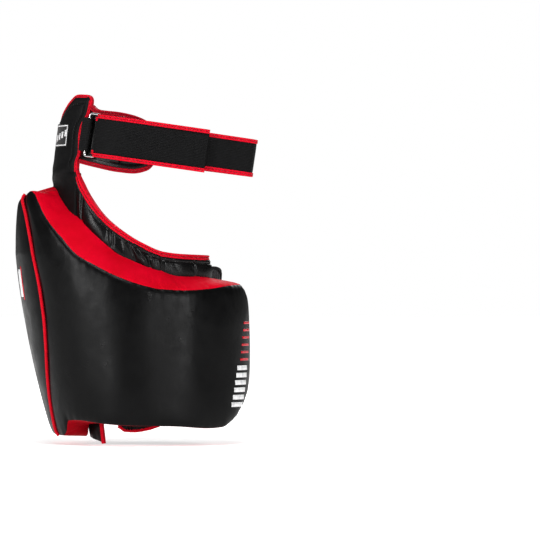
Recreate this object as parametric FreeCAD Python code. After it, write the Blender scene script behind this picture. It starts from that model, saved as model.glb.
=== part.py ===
"""Padded thigh guard for kick training: a curved foam block that wraps the front and outer side of a thigh,
a hanger that rises over the hip, a waist strap on a wire ring, and two leg straps behind the thigh.

Millimetres. The origin is the centre of the channel that the thigh fills. +Z runs up the thigh to the waist,
-Y is the wearer's front and -X the wearer's outer side. Around the channel a place is given by an angle, a height
and a radius: angle 0 is the front, negative angles run over the outer side to the back. This guard is worn on the
right leg, and the left one is its mirror image. Soft pieces are plain closed solids of the right size and place."""

import FreeCAD, Part
import math
import os

Vec = FreeCAD.Vector

# driving dimensions
CHANNEL_R = 105.0        # radius of the lining's inner face
LINING = 1.2             # thickness of a lining or cover sheet
GAP = 0.4                # air between neighbouring pieces
OUTER_R = 160.0          # radius of the guard's outer face
SKIN = 1.6               # leather thickness
FOAM_CUTS = (107.0, 122.0, 138.0, 157.6)   # radii that bound the three foam layers
FRONT_FLATTEN = 0.92     # depth of the plan shape against its width
OUTER_WIDEN = 1.03       # the outer half of the plan is a little wider
TAPER_TOP = 125.0        # height where the taper to the knee begins
REAR_ANGLE = -130.0      # rear edge of the side block
INNER_ANGLE = 86.0       # end of the guard on the inner thigh
FLEX_HEIGHT = 228.0      # the hanger bends at this height
FLEX_GAP = 4.5           # air left above and below the bend
HANGER_THICK = 11.0
STRAP_TILT = 8.1         # the waist strap runs down towards the inner side, in degrees

WIRE_R = 1.75            # ring wire
WAIST_PITCH = 17.0       # between the centres of the waist ring's two long bars
LEG_PITCH = 14.0         # the same for the leg rings
FOLD_R = 3.75            # centreline radius where a strap turns round a ring's bar
WEB = 2.2                # webbing thickness
FLAP = 3.0               # thickness of a folded-back strap end
FLAP_GAP = 3.2           # air between a fold and its flap, so that the flap can be peeled off
PATCH = 2.1              # hook patch or loop patch
HOOK_ACROSS = FOLD_R - FLAP / 2 - PATCH / 2 - 0.1     # where the patches lie between strap and flap
LOOP_ACROSS = -FOLD_R + WEB / 2 + PATCH / 2 + 0.1

os.makedirs("parts", exist_ok=True)


def smooth(*points):
    """A function through (x, y) points with no overshoot between them, held level past its ends."""
    xs = [p[0] for p in points]
    ys = [p[1] for p in points]
    steps = [(ys[i + 1] - ys[i]) / (xs[i + 1] - xs[i]) for i in range(len(xs) - 1)]
    slopes = [steps[0]]
    for a, b in zip(steps, steps[1:]):
        slopes.append(0.0 if a * b <= 0 else 2 * a * b / (a + b))
    slopes.append(steps[-1])

    def value(x):
        if x <= xs[0]:
            return ys[0]
        if x >= xs[-1]:
            return ys[-1]
        i = max(k for k in range(len(xs) - 1) if xs[k] <= x)
        h = xs[i + 1] - xs[i]
        t = (x - xs[i]) / h
        return (
            ys[i] * (1 + 2 * t) * (1 - t) ** 2
            + slopes[i] * h * t * (1 - t) ** 2
            + ys[i + 1] * t * t * (3 - 2 * t)
            + slopes[i + 1] * h * t * t * (t - 1)
        )

    return value


# outlines around the channel: (angle in degrees, height)
TOP_OUTER = smooth((-130, 112), (-115, 160), (-100, 188), (-86, 200), (-74, 204), (-63, 211), (-48, 173), (-39, 150),
                   (-28.5, 124), (-20, 111), (-8, 95), (3, 84), (15, 77), (27, 75.5), (40, 77), (58, 82), (69, 83),
                   (78, 74), (86, 50))
TOP_INNER = smooth((-130, 150), (-115, 190), (-100, 212), (-90, 220), (-78, 219), (-53, 186), (-37, 170), (-21, 144),
                   (-9, 126), (5, 114.5), (19, 105), (32, 97), (55, 95), (70, 92), (78, 84), (86, 64))
BOTTOM_OUTER = smooth((-130, -70), (-115, -100), (-95, -117), (-70, -123), (-60, -123), (-54, -117), (-49, -102),
                      (-40, -101), (-20, -105), (0, -107.5), (20, -108.5), (42, -112), (50, -111), (58, -103),
                      (70, -83), (80, -52), (86, -20))
BOTTOM_INNER = smooth((-130, -66), (-115, -96), (-95, -114), (-70, -122), (-55, -125), (-46, -123), (-40, -108),
                      (-25, -106), (20, -108), (42, -112), (58, -101), (70, -81), (80, -50), (86, -18))
BINDING_TOP = smooth((-46, 240), (-40.7, 221.7), (-31, 196), (-21.5, 176), (-9, 157), (5, 140.5), (22.6, 127),
                     (38.6, 124), (68, 122.5))
PIPING_ANGLE = smooth((-121, -68.5), (-83, -65), (-41, -60), (7, -55), (40, -53.5), (72, -53.8), (121, -57),
                      (179, -65), (203, -71))
HANGER_TOP = smooth((-126, 236), (-118, 262), (-105, 286), (-90, 305), (-75, 321), (-62, 335), (-52, 343),
                    (-40, 342), (-35.5, 338))
HANGER_FRONT = smooth((228, -45.5), (250, -46), (262, -43.5), (285, -44.5), (300, -43.5), (316, -37.5), (338, -35.5))
HANGER_REAR = -126.0
TONGUE_TOP = smooth((-36, 329), (-30, 322), (-11.5, 318), (0, 313.5), (11, 305), (16, 296), (19, 284))
TONGUE_BOTTOM = smooth((-44, 250), (-27, 243), (-11.5, 237), (0, 235), (10, 239), (15, 248), (19, 262))
TONGUE_END = 19.0
WING_TOP = smooth((60, 95), (69.5, 95.5), (74, 105), (90, 108), (96, 103), (101, 90))
WING_FLARE = smooth((60, 102.6), (86, 102.8), (96.5, 117.2), (101, 117.2))


def width_scale(angle, z):
    """How much wider or narrower than a circle the plan is: the outer side narrows towards the knee."""
    if math.sin(math.radians(angle)) >= 0:
        return 1.0
    down = max(0.0, TAPER_TOP - z)
    return OUTER_WIDEN * (1 - (0.095 * down + 0.00042 * down * down) / (OUTER_R * OUTER_WIDEN))


def place(angle, z, r):
    """A point of the guard."""
    a = math.radians(angle)
    return Vec(r * math.sin(a) * width_scale(angle, z), -r * math.cos(a) * FRONT_FLATTEN, z)


def hanger_radius(z):
    """Radius of the hanger's outer face, which leans in towards the waist."""
    return 113.0 - 0.118 * (z - 225.0)


def mix(a, b, t):
    return a + (b - a) * t


def depth_share(r):
    return min(1.0, max(0.0, (OUTER_R - r) / (OUTER_R - FOAM_CUTS[0])))


def guard_top(angle, r):
    return mix(TOP_OUTER(angle), TOP_INNER(angle), depth_share(r))


def guard_bottom(angle, r):
    return mix(BOTTOM_OUTER(angle), BOTTOM_INNER(angle), depth_share(r))


def skin_face(rows):
    surface = Part.BSplineSurface()
    surface.interpolate(rows)
    return surface


def solid_between(point, nu, nv):
    """Closed solid between the sheets point(u, v, 0) and point(u, v, 1), with ruled edges."""
    sheets = []
    for t in (0.0, 1.0):
        rows = [[point(i / nu, j / nv, t) for j in range(nv + 1)] for i in range(nu + 1)]
        sheets.append(skin_face(rows))
    faces = [s.toShape() for s in sheets]
    edges = []
    for s in sheets:
        u0, u1, v0, v1 = s.bounds()
        edges.append([c.toShape() for c in (s.uIso(u0), s.uIso(u1), s.vIso(v0), s.vIso(v1))])
    faces += [Part.makeRuledSurface(a, b, 1) for a, b in zip(*edges)]
    shell = Part.makeShell(faces)
    shell.sewShape()
    solid = Part.makeSolid(shell)
    if solid.Volume < 0:
        solid.reverse()
    return solid


def wrap(angles, radii, bottom, top, nu=40, nv=4, at=place):
    """A curved slab. angles is (from, to), each a number or a function of height; bottom and top are functions of
    (angle, radius)."""

    def limit(value, z):
        return value(z) if callable(value) else value

    def point(u, v, t):
        r = mix(radii[0], radii[1], t)
        z = 0.0
        for _ in range(6):
            angle = mix(limit(angles[0], z), limit(angles[1], z), u)
            z = mix(bottom(angle, r), top(angle, r), v)
        return at(angle, z, r)

    return solid_between(point, nu, nv)


def edge_sheet(angles, height, thickness, nu=30, radii=(FOAM_CUTS[0], OUTER_R - SKIN)):
    """A sheet that lies along the guard's top or bottom, from its inner radius to its outer one."""

    def point(u, v, t):
        angle = mix(angles[0], angles[1], u)
        r = mix(radii[0], radii[1], v)
        return place(angle, height(angle, r) + thickness * t, r)

    return solid_between(point, nu, 3)


def end_sheet(angle, turn, thickness):
    """A sheet that closes the guard's end at that angle. turn is +1 or -1, the way its thickness goes."""

    def point(u, v, t):
        r = mix(FOAM_CUTS[0], OUTER_R - SKIN, u)
        away = angle + turn * math.degrees((GAP + thickness * t) / r)
        return place(away, mix(guard_bottom(angle, r) + 1, guard_top(angle, r) - 1, v), r)

    return solid_between(point, 4, 4)


# straps are drawn in plan by walking: ("line", length) or ("turn", radius, degrees), where a left turn is positive
def walk(start, heading, moves, offset=0.0):
    """Edges of the path, moved sideways to its left by offset, and where it ends."""
    x, y = start
    h = math.radians(heading)
    edges = []

    def beside(px, py, angle):
        return Vec(px - math.sin(angle) * offset, py + math.cos(angle) * offset, 0)

    for move in moves:
        if move[0] == "line":
            nx, ny, nh = x + math.cos(h) * move[1], y + math.sin(h) * move[1], h
            edges.append(Part.LineSegment(beside(x, y, h), beside(nx, ny, nh)).toShape())
        else:
            side = 1.0 if move[2] > 0 else -1.0
            r, turn = move[1] * side, math.radians(move[2])
            cx, cy = x - math.sin(h) * r, y + math.cos(h) * r

            def on(angle):
                return cx + math.sin(angle) * r, cy - math.cos(angle) * r

            nh = h + turn
            nx, ny = on(nh)
            mx, my = on(h + turn / 2)
            edges.append(Part.Arc(beside(x, y, h), beside(mx, my, h + turn / 2), beside(nx, ny, nh)).toShape())
        x, y, h = nx, ny, nh
    return edges, (x, y), math.degrees(h)


def ribbon(start, heading, moves, thickness, low, high):
    """A strap of that thickness along the path, standing from height low to high."""
    left, _, _ = walk(start, heading, moves, thickness / 2)
    right, _, _ = walk(start, heading, moves, -thickness / 2)

    def end(edges, first):
        return edges[0].Vertexes[0].Point if first else edges[-1].Vertexes[-1].Point

    caps = [Part.LineSegment(end(left, k), end(right, k)).toShape() for k in (True, False)]
    face = Part.Face(Part.Wire(Part.__sortEdges__(left + right + caps)))
    solid = face.extrude(Vec(0, 0, high - low))
    solid.translate(Vec(0, 0, low))
    return solid


def beside(point, heading, along, across):
    """A point moved along a heading, and to the right of it."""
    h = math.radians(heading)
    return (
        point[0] + math.cos(h) * along + math.sin(h) * across,
        point[1] + math.sin(h) * along - math.cos(h) * across,
    )


def wire_ring(bar, heading, z, pitch, half_height):
    """Rectangular wire ring. bar is the long bar that the strap turns round; the other is behind it."""
    corner = 4.0
    back = beside(bar, heading, -pitch, 0)
    corners = [(0, -half_height), (pitch, -half_height), (pitch, half_height), (0, half_height)]
    ways = [(1, 0), (0, 1), (-1, 0), (0, -1)]

    def at(u, v):
        x, y = beside(back, heading, u, 0)
        return Vec(x, y, z + v)

    edges = []
    diagonal = corner * (1 - math.sqrt(0.5))
    for i, (u, v) in enumerate(corners):
        before, after = ways[i - 1], ways[i]
        a = (u - before[0] * corner, v - before[1] * corner)
        b = (u + after[0] * corner, v + after[1] * corner)
        m = (u + (after[0] - before[0]) * diagonal, v + (after[1] - before[1]) * diagonal)
        nu, nv = corners[(i + 1) % 4]
        edges.append(Part.Arc(at(*a), at(*m), at(*b)).toShape())
        edges.append(Part.LineSegment(at(*b), at(nu - after[0] * corner, nv - after[1] * corner)).toShape())
    path = Part.Wire(Part.__sortEdges__(edges))
    start = path.Edges[0].Vertexes[0].Point
    tangent = path.Edges[0].tangentAt(path.Edges[0].FirstParameter)
    profile = Part.Wire(Part.Circle(start, tangent, WIRE_R).toShape())
    return path.makePipeShell([profile], True, True)


class Strap:
    """A strap that comes to a ring, turns round the ring's front bar and folds back on itself as a flap.
    heading is the way the strap leaves the ring, and the flap is on its right-hand side."""

    def __init__(self, bar, heading, z, pitch, moves, flap_moves):
        self.bar, self.heading, self.z, self.pitch = bar, heading, z, pitch
        self.moves = [("turn", FOLD_R, -180)] + moves
        self.flap_moves = flap_moves
        self.fold = beside(bar, heading, 0, FOLD_R)
        self.flap_start = beside(bar, heading, FLAP_GAP, FOLD_R)

    def web(self, half, shift=0.0, thickness=WEB):
        return ribbon(self.fold, self.heading + 180, self.moves, thickness, self.z + shift - half, self.z + shift + half)

    def flap(self, half, shift=0.0, thickness=FLAP):
        low = self.z + shift - half
        return ribbon(self.flap_start, self.heading, self.flap_moves, thickness, low, low + 2 * half)

    def patch(self, skip, length_moves, across, half):
        """A hook or loop patch between strap and flap; across is its centre's distance from the bar's centre."""
        _, point, heading = walk(self.flap_start, self.heading, skip)
        start = beside(point, heading, 0, across - FOLD_R)
        moves = [m if m[0] == "line" else ("turn", m[1] + across - FOLD_R, m[2]) for m in length_moves]
        return ribbon(start, heading, moves, PATCH, self.z - half, self.z + half)

    def anchor(self, half, length):
        start = beside(self.back_bar(), self.heading, -length, FOLD_R)
        moves = [("line", length), ("turn", FOLD_R, 180), ("line", length)]
        return ribbon(start, self.heading, moves, WEB, self.z - half, self.z + half)

    def ring(self, half_height):
        return wire_ring(self.bar, self.heading, self.z, self.pitch, half_height)

    def back_bar(self):
        return beside(self.bar, self.heading, -self.pitch, 0)


def save(name, *solids):
    shape = solids[0] if len(solids) == 1 else Part.makeCompound(list(solids))
    for s in shape.Solids:
        if not s.isValid() or not s.isClosed() or s.Volume <= 0:
            print("CHECK", name, s.isValid(), round(s.Volume, 2))
    shape.exportStep("parts/%s.step" % name)
    box = shape.BoundBox
    print("%-24s %9.0f mm3  X %6.1f %6.1f  Y %6.1f %6.1f  Z %6.1f %6.1f" % (
        name, shape.Volume, box.XMin, box.XMax, box.YMin, box.YMax, box.ZMin, box.ZMax))


def side_of_piping(gap):
    """The piping's angle as a function of height, moved by gap degrees."""
    return lambda z: PIPING_ANGLE(z) + gap


def foam_blocks():
    front = (side_of_piping(2.2), INNER_ANGLE - 0.4)
    side = (REAR_ANGLE + 0.4, side_of_piping(-2.2))

    def bottom(angle, r):
        return guard_bottom(angle, r) + 2 * GAP

    def top(angle, r):
        return guard_top(angle, r) - 2 * GAP

    for i, layer in enumerate(("inner", "middle", "outer")):
        radii = (FOAM_CUTS[i] + GAP / 2, FOAM_CUTS[i + 1] - GAP / 2)
        save("front_foam_%s" % layer, wrap(front, radii, bottom, top, 64, 16))
        save("side_foam_%s" % layer, wrap(side, radii, bottom, top, 32, 16))


def guard_covers():
    radii = (OUTER_R - SKIN, OUTER_R)
    save("front_cover", wrap((side_of_piping(1.7), INNER_ANGLE), radii, guard_bottom, guard_top, 64, 16))
    save("side_cover", wrap((REAR_ANGLE, side_of_piping(-1.7)), radii, guard_bottom, guard_top, 32, 16))
    save("side_piping", wrap((side_of_piping(-1.0), side_of_piping(1.0)), (OUTER_R - 3.0, OUTER_R + 1.4),
                             lambda a, r: guard_bottom(a, OUTER_R) + 1, lambda a, r: guard_top(a, OUTER_R) - 1, 2, 24))
    lining = (CHANNEL_R, CHANNEL_R + LINING)
    save("channel_lining", wrap((REAR_ANGLE, INNER_ANGLE), lining, guard_bottom, guard_top, 96, 16))

    def above(angle, r):
        return guard_top(angle, r) + GAP

    def below(angle, r):
        return guard_bottom(angle, r) - GAP

    save("top_gusset_outer", edge_sheet((REAR_ANGLE, -54.0), above, SKIN, 40))
    save("top_gusset_inner", edge_sheet((-53.2, INNER_ANGLE), above, SKIN, 56))
    save("bottom_gusset_outer", edge_sheet((REAR_ANGLE, -44.0), below, -SKIN, 44))
    save("bottom_gusset_inner", edge_sheet((-43.2, INNER_ANGLE), below, -SKIN, 56))
    save("inner_edge_panel", end_sheet(INNER_ANGLE, 1, SKIN))
    save("rear_edge_panel", end_sheet(REAR_ANGLE, -1, SKIN))


def collar():
    """The padded roll that lines the guard's upper edge, and its binding."""
    foot, head = 2.6, 8.0

    def bottom(a, r):
        return TOP_INNER(a) + foot

    def top(a, r):
        return min(BINDING_TOP(a), FLEX_HEIGHT - FLEX_GAP + head) - head

    angles = (-46.0, 68.0)
    save("collar_foam", wrap(angles, (99.6, 110.4), bottom, top, 40, 3))
    save("collar_outer_leather", wrap(angles, (110.8, 112.2), bottom, top, 40, 3))
    save("collar_inner_leather", wrap(angles, (97.8, 99.2), bottom, top, 40, 3))
    save("collar_binding", wrap((-40.0, 68.0), (97.4, 113.0), lambda a, r: top(a, r) + GAP,
                                lambda a, r: BINDING_TOP(a), 40, 2))
    save("hanger_root", wrap((HANGER_REAR, -46.6), (100.0, 112.0), bottom, lambda a, r: FLEX_HEIGHT - FLEX_GAP, 24, 3))


def lower_trim():
    """What shows under the guard: the lining's gathered hem with its binding, and a tab."""
    hem_edge = smooth((-17, -112), (-9, -118), (0, -118.5), (12, -115.5), (20, -111))
    hem_top = -100.0
    tape = 4.0
    hem = (97.0, 103.0)
    save("lining_hem", wrap((-17, 20), hem, lambda a, r: hem_edge(a) + tape + GAP, lambda a, r: hem_top, 8, 2))
    save("hem_binding", wrap((-17, 20), (96.4, 103.6), lambda a, r: hem_edge(a), lambda a, r: hem_edge(a) + tape, 8, 2))
    tab_low = smooth((-57, -126), (-45, -130), (-36, -133))
    save("lower_tab", wrap((-57, -38.6), (97.5, 103.5), lambda a, r: tab_low(a), lambda a, r: -100.0, 5, 2))
    save("lower_tab_binding", wrap((-38.2, -34.5), (97.0, 104.0), lambda a, r: -134.0, lambda a, r: -100.0, 2, 2))


def graphics():
    """Plain bars printed on the covers, in place of lettering. Each bar is its own thin solid."""
    film = (OUTER_R + 0.3, OUTER_R + 0.7)
    bar, pitch = 6.4, 10.0

    def one(first, last, low, high):
        return wrap((first, last), film, lambda a, r: low, lambda a, r: high, 3, 1)

    white = [one(55.5 + 0.9 * i, 67.5 + 0.9 * i, -84 + pitch * i, -84 + pitch * i + bar) for i in range(6)]
    red = [one(63.0 + 0.9 * i, 75.0 + 0.9 * i, -21 + pitch * i, -21 + pitch * i + bar * 0.5) for i in range(6)]
    save("front_bars_white", *white)
    save("front_bars_red", *red)
    save("side_bar_white", one(-80.5, -74.5, 66, 104))
    save("side_bar_red", one(-74.2, -72.6, 62, 108))


def stretch_wing():
    """The elastic mesh panel behind the inner end, which carries the leg strap rings."""

    def at(angle, z, r):
        return place(angle, z, r + WING_FLARE(angle) - WING_FLARE(0))

    save("stretch_wing", wrap((60, 101), (WING_FLARE(0), WING_FLARE(0) + LINING), lambda a, r: -86.0,
                              lambda a, r: WING_TOP(a), 10, 3, at))


def hanger():
    """The padded hanger over the hip. Radii are counted from its leaning outer face."""

    def at(angle, z, r):
        return place(angle, z, hanger_radius(z) + r)

    low = FLEX_HEIGHT + FLEX_GAP
    tape = 5.0
    angles = (HANGER_REAR + 3.0, lambda z: HANGER_FRONT(z) - 3.8)

    def bottom(a, r):
        return low

    def top(a, r):
        return max(low + 4.0, HANGER_TOP(a) - tape)

    cover, lining = (-1.4, 0.0), (-HANGER_THICK, -HANGER_THICK + 1.4)
    save("hanger_cover", wrap(angles, cover, bottom, top, 40, 16, at))
    save("hanger_foam", wrap(angles, (lining[1] + GAP, cover[0] - GAP), bottom, top, 40, 16, at))
    save("hanger_lining", wrap(angles, lining, bottom, top, 40, 16, at))
    band = (-HANGER_THICK - 0.6, 0.6)
    front = wrap((lambda z: HANGER_FRONT(z) - 3.0, HANGER_FRONT), band, bottom, lambda a, r: 336.0, 2, 24, at)
    rear = wrap((HANGER_REAR, HANGER_REAR + 2.6), band, bottom, lambda a, r: 238.0, 2, 2, at)
    over = wrap((HANGER_REAR + 3.0, -38.9), band, lambda a, r: top(a, r) + 2 * GAP,
                lambda a, r: top(a, r) + tape, 40, 2, at)
    save("hanger_binding", front, rear, over)
    save("label_patch", wrap((-83, -57), (0.3, 1.3), lambda a, r: 273.0, lambda a, r: 303.0, 6, 2, at))

    def tongue(a0, a1, depth, rim):
        return wrap((a0, a1), depth, lambda a, r: TONGUE_BOTTOM(a) + rim, lambda a, r: TONGUE_TOP(a) - rim, 30, 12, at)

    def start(z):
        return HANGER_FRONT(z) + 1.2

    rim = 6.5
    save("tongue_cover", tongue(start, TONGUE_END - 4, (-3.4, -2.0), rim))
    save("tongue_foam", tongue(start, TONGUE_END - 4, (-8.2, -3.8), rim))
    save("tongue_lining", tongue(start, TONGUE_END - 4, (-10.0, -8.6), rim))
    edge = (-10.6, -1.4)

    def strip(low_of, high_of, a0, a1):
        return wrap((a0, a1), edge, lambda a, r: low_of(a), lambda a, r: high_of(a), 30, 2, at)

    lower = strip(TONGUE_BOTTOM, lambda a: TONGUE_BOTTOM(a) + rim - 2 * GAP, start, TONGUE_END - 4)
    upper = strip(lambda a: TONGUE_TOP(a) - rim + 2 * GAP, TONGUE_TOP, start, TONGUE_END - 4)
    end = strip(TONGUE_BOTTOM, TONGUE_TOP, TONGUE_END - 3.7, TONGUE_END)
    save("tongue_binding", lower, upper, end)


def waist_strap():
    """The waist strap. It is drawn level and then tilted with its ring."""
    bend, far_bend = 80.0, 420.0
    strap = Strap(
        (-49.5, -93.0), -32.0, 288.0, WAIST_PITCH,
        [("turn", bend, 32), ("line", 52.0), ("turn", far_bend, 13), ("line", 15.0), ("turn", 13.0, 138.0),
         ("line", 233.7), ("turn", 25.0, 99.0), ("line", 22.0)],
        [("turn", bend + 2 * FOLD_R, 32), ("line", 52.0), ("turn", far_bend + 2 * FOLD_R, 7)],
    )
    pivot = Vec(strap.back_bar()[0], strap.back_bar()[1], strap.z)

    def tilt(shape):
        shape.rotate(pivot, Vec(0, 1, 0), STRAP_TILT)
        return shape

    tape = 4.6
    web_half, flap_half = 20.6, 24.4

    def tapes(make, half, thickness):
        shift = half + GAP + tape / 2
        return [tilt(make(tape / 2, side * shift, thickness)) for side in (-1, 1)]

    save("waist_strap", tilt(strap.web(web_half)))
    save("waist_strap_binding", *tapes(strap.web, web_half, WEB + 0.6))
    save("waist_flap", tilt(strap.flap(flap_half)))
    save("waist_flap_binding", *tapes(strap.flap, flap_half, FLAP + 0.6))
    skip = [("turn", bend + 2 * FOLD_R, 25)]
    run = [("turn", bend + 2 * FOLD_R, 7), ("line", 52.0), ("turn", far_bend + 2 * FOLD_R, 6)]
    save("waist_hook_patch", tilt(strap.patch(skip, run, HOOK_ACROSS, 18.0)))
    save("waist_loop_patch", tilt(strap.patch(skip, run, LOOP_ACROSS, 18.0)))
    save("waist_ring", tilt(strap.ring(31.0 - WIRE_R)))
    save("waist_ring_anchor", tilt(strap.anchor(24.0, 18.0)))

    # the keeper stands on the tongue and bridges the inner layer of the strap
    _, point, heading = walk(strap.flap_start, strap.heading, [("turn", bend + 2 * FOLD_R, 13.6)])
    plate = ribbon(beside(point, heading, 0, -4.4), heading, [("turn", bend + 3.1, 9.8)], 1.4,
                   strap.z - 32.0, strap.z + 31.2)
    feet = [ribbon(beside(point, heading, 0, -8.1), heading, [("turn", bend - 0.6, 9.8)], 5.6, low, low + 5.2)
            for low in (strap.z - 32.0, strap.z + 26.0)]
    save("strap_keeper", tilt(plate), *[tilt(f) for f in feet])


def leg_straps():
    """Two elastic straps behind the thigh, each on its own ring."""
    bend = 76.0
    for name, z, run in (("upper_leg", 44.0, 20.0), ("lower_leg", -66.0, 4.9)):
        strap = Strap(
            (112.0, 38.0), 100.0, z, LEG_PITCH,
            [("line", 4.0), ("turn", bend, 80), ("line", run), ("turn", 112.0, 52), ("turn", 95.0, 18)],
            [("line", 3.0), ("turn", bend + 2 * FOLD_R, 62)],
        )
        save(name + "_strap", strap.web(19.0))
        save(name + "_flap", strap.flap(19.0))
        skip = [("line", 3.0), ("turn", bend + 2 * FOLD_R, 24)]
        run_moves = [("turn", bend + 2 * FOLD_R, 36)]
        save(name + "_hook_patch", strap.patch(skip, run_moves, HOOK_ACROSS, 16.5))
        save(name + "_loop_patch", strap.patch(skip, run_moves, LOOP_ACROSS, 16.5))
        save(name + "_ring", strap.ring(24.0))
        save(name + "_ring_anchor", strap.anchor(18.5, 9.0))


foam_blocks()
guard_covers()
collar()
lower_trim()
graphics()
stretch_wing()
hanger()
waist_strap()
leg_straps()
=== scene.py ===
"""Looks of the padded thigh guard. Lengths are in millimetres until a mesh is made, and in metres after that.
A place on the guard is (angle, height, radius), as in the part: angle 0 is the front, negative angles run over the
outer side to the back."""

import bmesh
import bpy
import math
import numpy as np
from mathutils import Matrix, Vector


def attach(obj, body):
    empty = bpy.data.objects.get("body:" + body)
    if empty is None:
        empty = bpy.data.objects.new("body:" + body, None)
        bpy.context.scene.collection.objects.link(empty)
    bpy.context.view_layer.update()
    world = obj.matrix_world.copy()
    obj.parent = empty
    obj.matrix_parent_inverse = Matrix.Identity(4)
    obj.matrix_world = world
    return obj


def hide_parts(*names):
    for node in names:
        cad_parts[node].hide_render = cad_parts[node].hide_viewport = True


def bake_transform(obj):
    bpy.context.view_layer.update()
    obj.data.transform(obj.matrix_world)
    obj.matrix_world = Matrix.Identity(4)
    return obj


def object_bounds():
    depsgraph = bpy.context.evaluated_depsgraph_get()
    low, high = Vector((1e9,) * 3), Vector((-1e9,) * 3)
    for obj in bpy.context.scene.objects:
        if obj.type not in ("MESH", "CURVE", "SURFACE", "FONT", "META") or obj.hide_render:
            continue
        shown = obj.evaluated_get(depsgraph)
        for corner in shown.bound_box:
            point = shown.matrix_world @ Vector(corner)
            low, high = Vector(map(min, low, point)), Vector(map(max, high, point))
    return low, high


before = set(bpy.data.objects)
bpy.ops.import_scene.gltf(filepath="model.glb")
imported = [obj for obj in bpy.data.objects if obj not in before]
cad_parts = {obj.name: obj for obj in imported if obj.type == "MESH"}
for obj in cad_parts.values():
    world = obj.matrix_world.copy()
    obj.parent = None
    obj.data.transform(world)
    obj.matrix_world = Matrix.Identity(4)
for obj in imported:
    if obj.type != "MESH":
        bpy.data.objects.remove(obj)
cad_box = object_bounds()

MM = 0.001
SEW_DISTANCE = 0.00004
WHITE = (1.0, 1.0, 1.0, 1.0)


# shapes shared with the part
def smooth(*points):
    """A function through (x, y) points with no overshoot between them, held level past its ends."""
    xs, ys = np.array(points, float).T
    steps = np.diff(ys) / np.diff(xs)
    a, b = steps[:-1], steps[1:]
    total = np.where(a * b > 0, a + b, 1.0)
    slopes = np.concatenate(([steps[0]], np.where(a * b > 0, 2 * a * b / total, 0.0), [steps[-1]]))

    def value(x):
        x = np.clip(np.asarray(x, float), xs[0], xs[-1])
        i = np.clip(np.searchsorted(xs, x, side="right") - 1, 0, len(steps) - 1)
        h = xs[i + 1] - xs[i]
        t = (x - xs[i]) / h
        return (
            ys[i] * (1 + 2 * t) * (1 - t) ** 2
            + slopes[i] * h * t * (1 - t) ** 2
            + ys[i + 1] * t * t * (3 - 2 * t)
            + slopes[i + 1] * h * t * t * (t - 1)
        )

    return value


TOP_OUTER = smooth(
    (-130, 112), (-115, 160), (-100, 188), (-86, 200), (-74, 204), (-63, 211), (-48, 173), (-39, 150),
    (-28.5, 124), (-20, 111), (-8, 95), (3, 84), (15, 77), (27, 75.5), (40, 77), (58, 82), (69, 83), (78, 74),
    (86, 50))
TOP_INNER = smooth(
    (-130, 150), (-115, 190), (-100, 212), (-90, 220), (-78, 219), (-53, 186), (-37, 170), (-21, 144),
    (-9, 126), (5, 114.5), (19, 105), (32, 97), (55, 95), (70, 92), (78, 84), (86, 64))
BOTTOM_OUTER = smooth(
    (-130, -70), (-115, -100), (-95, -117), (-70, -123), (-60, -123), (-54, -117), (-49, -102), (-40, -101),
    (-20, -105), (0, -107.5), (20, -108.5), (42, -112), (50, -111), (58, -103), (70, -83), (80, -52),
    (86, -20))
BOTTOM_INNER = smooth(
    (-130, -66), (-115, -96), (-95, -114), (-70, -122), (-55, -125), (-46, -123), (-40, -108), (-25, -106),
    (20, -108), (42, -112), (58, -101), (70, -81), (80, -50), (86, -18))
BINDING_TOP = smooth(
    (-46, 240), (-40.7, 221.7), (-31, 196), (-21.5, 176), (-9, 157), (5, 140.5), (22.6, 127), (38.6, 124),
    (68, 122.5))
PIPING_ANGLE = smooth(
    (-121, -68.5), (-83, -65), (-41, -60), (7, -55), (40, -53.5), (72, -53.8), (121, -57), (179, -65),
    (203, -71))
HANGER_TOP = smooth(
    (-126, 236), (-118, 262), (-105, 286), (-90, 305), (-75, 321), (-62, 335), (-52, 343), (-40, 342),
    (-35.5, 338))
HANGER_FRONT = smooth((228, -45.5), (250, -46), (262, -43.5), (285, -44.5), (300, -43.5), (316, -37.5), (338, -35.5))
TONGUE_TOP = smooth((-36, 329), (-30, 322), (-11.5, 318), (0, 313.5), (11, 305), (16, 296), (19, 284))
TONGUE_BOTTOM = smooth((-44, 250), (-27, 243), (-11.5, 237), (0, 235), (10, 239), (15, 248), (19, 262))
WING_TOP = smooth((60, 95), (69.5, 95.5), (74, 105), (90, 108), (96, 103), (101, 90))
WING_FLARE = smooth((60, 102.6), (86, 102.8), (96.5, 117.2), (101, 117.2))
OUTER_R, INNER_R, EDGE_DEPTH = 160.0, 106.0, 53.0
DEPTH_SCALE, WAIST_Z = 0.92, 288.0
REAR_ANGLE, INNER_ANGLE = -130.0, 86.0


def width_scale(angle, z):
    down = np.maximum(0.0, 125.0 - np.asarray(z, float))
    outer = 1.03 * (1 - (0.095 * down + 0.00042 * down * down) / (160.0 * 1.03))
    return np.where(np.sin(np.radians(angle)) >= 0, 1.0, outer)


def place(angle, z, r):
    angle, z, r = np.broadcast_arrays(np.asarray(angle, float), np.asarray(z, float), np.asarray(r, float))
    a = np.radians(angle)
    return np.stack([r * np.sin(a) * width_scale(angle, z), -r * np.cos(a) * DEPTH_SCALE, z], -1)


def outward(angle):
    a = np.radians(np.asarray(angle, float))
    d = np.stack([np.sin(a) * DEPTH_SCALE, -np.cos(a), 0 * a], -1)
    return d / np.linalg.norm(d, axis=-1, keepdims=True)


def hanger_radius(z):
    return 113.0 - 0.118 * (np.asarray(z, float) - 225.0)


def mix(a, b, t):
    return a + (b - a) * t


def step(low, high, x):
    t = np.clip((np.asarray(x, float) - low) / (high - low), 0, 1)
    return t * t * (3 - 2 * t)


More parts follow.
